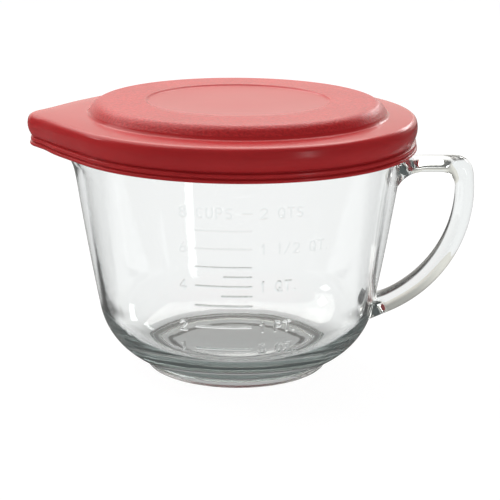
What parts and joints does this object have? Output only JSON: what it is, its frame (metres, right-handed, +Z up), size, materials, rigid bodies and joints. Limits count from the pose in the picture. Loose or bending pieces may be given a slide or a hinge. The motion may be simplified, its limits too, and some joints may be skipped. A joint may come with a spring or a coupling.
{
  "type": "lidded measuring bowl",
  "caption": "Clear glass measuring and batter bowl with a pouring spout, loop handle and raised graduations, under a red push-on lid that follows its rim.",
  "frame": {"origin": "middle of the foot, on the table", "axes": "+Z up out of the bowl, +X towards the handle, -X towards the spout, -Y the front with the graduations"},
  "size_m": [0.2565, 0.2034, 0.1548],
  "materials": {
    "clear_glass": "pressed and fire-polished, with a slight grey-green tint",
    "red_plastic": "satin moulded plastic, finely grained on the raised panel"
  },
  "bodies": {
    "bowl": {"glass_bowl": "clear_glass"},
    "lid": {"lid": "red_plastic"}
  },
  "joints": [
    {"name": "lid_lift", "type": "slide", "parent": "bowl", "child": "lid", "axis": [0, 0, 1], "range_m": [0, 0.06]}
  ]
}
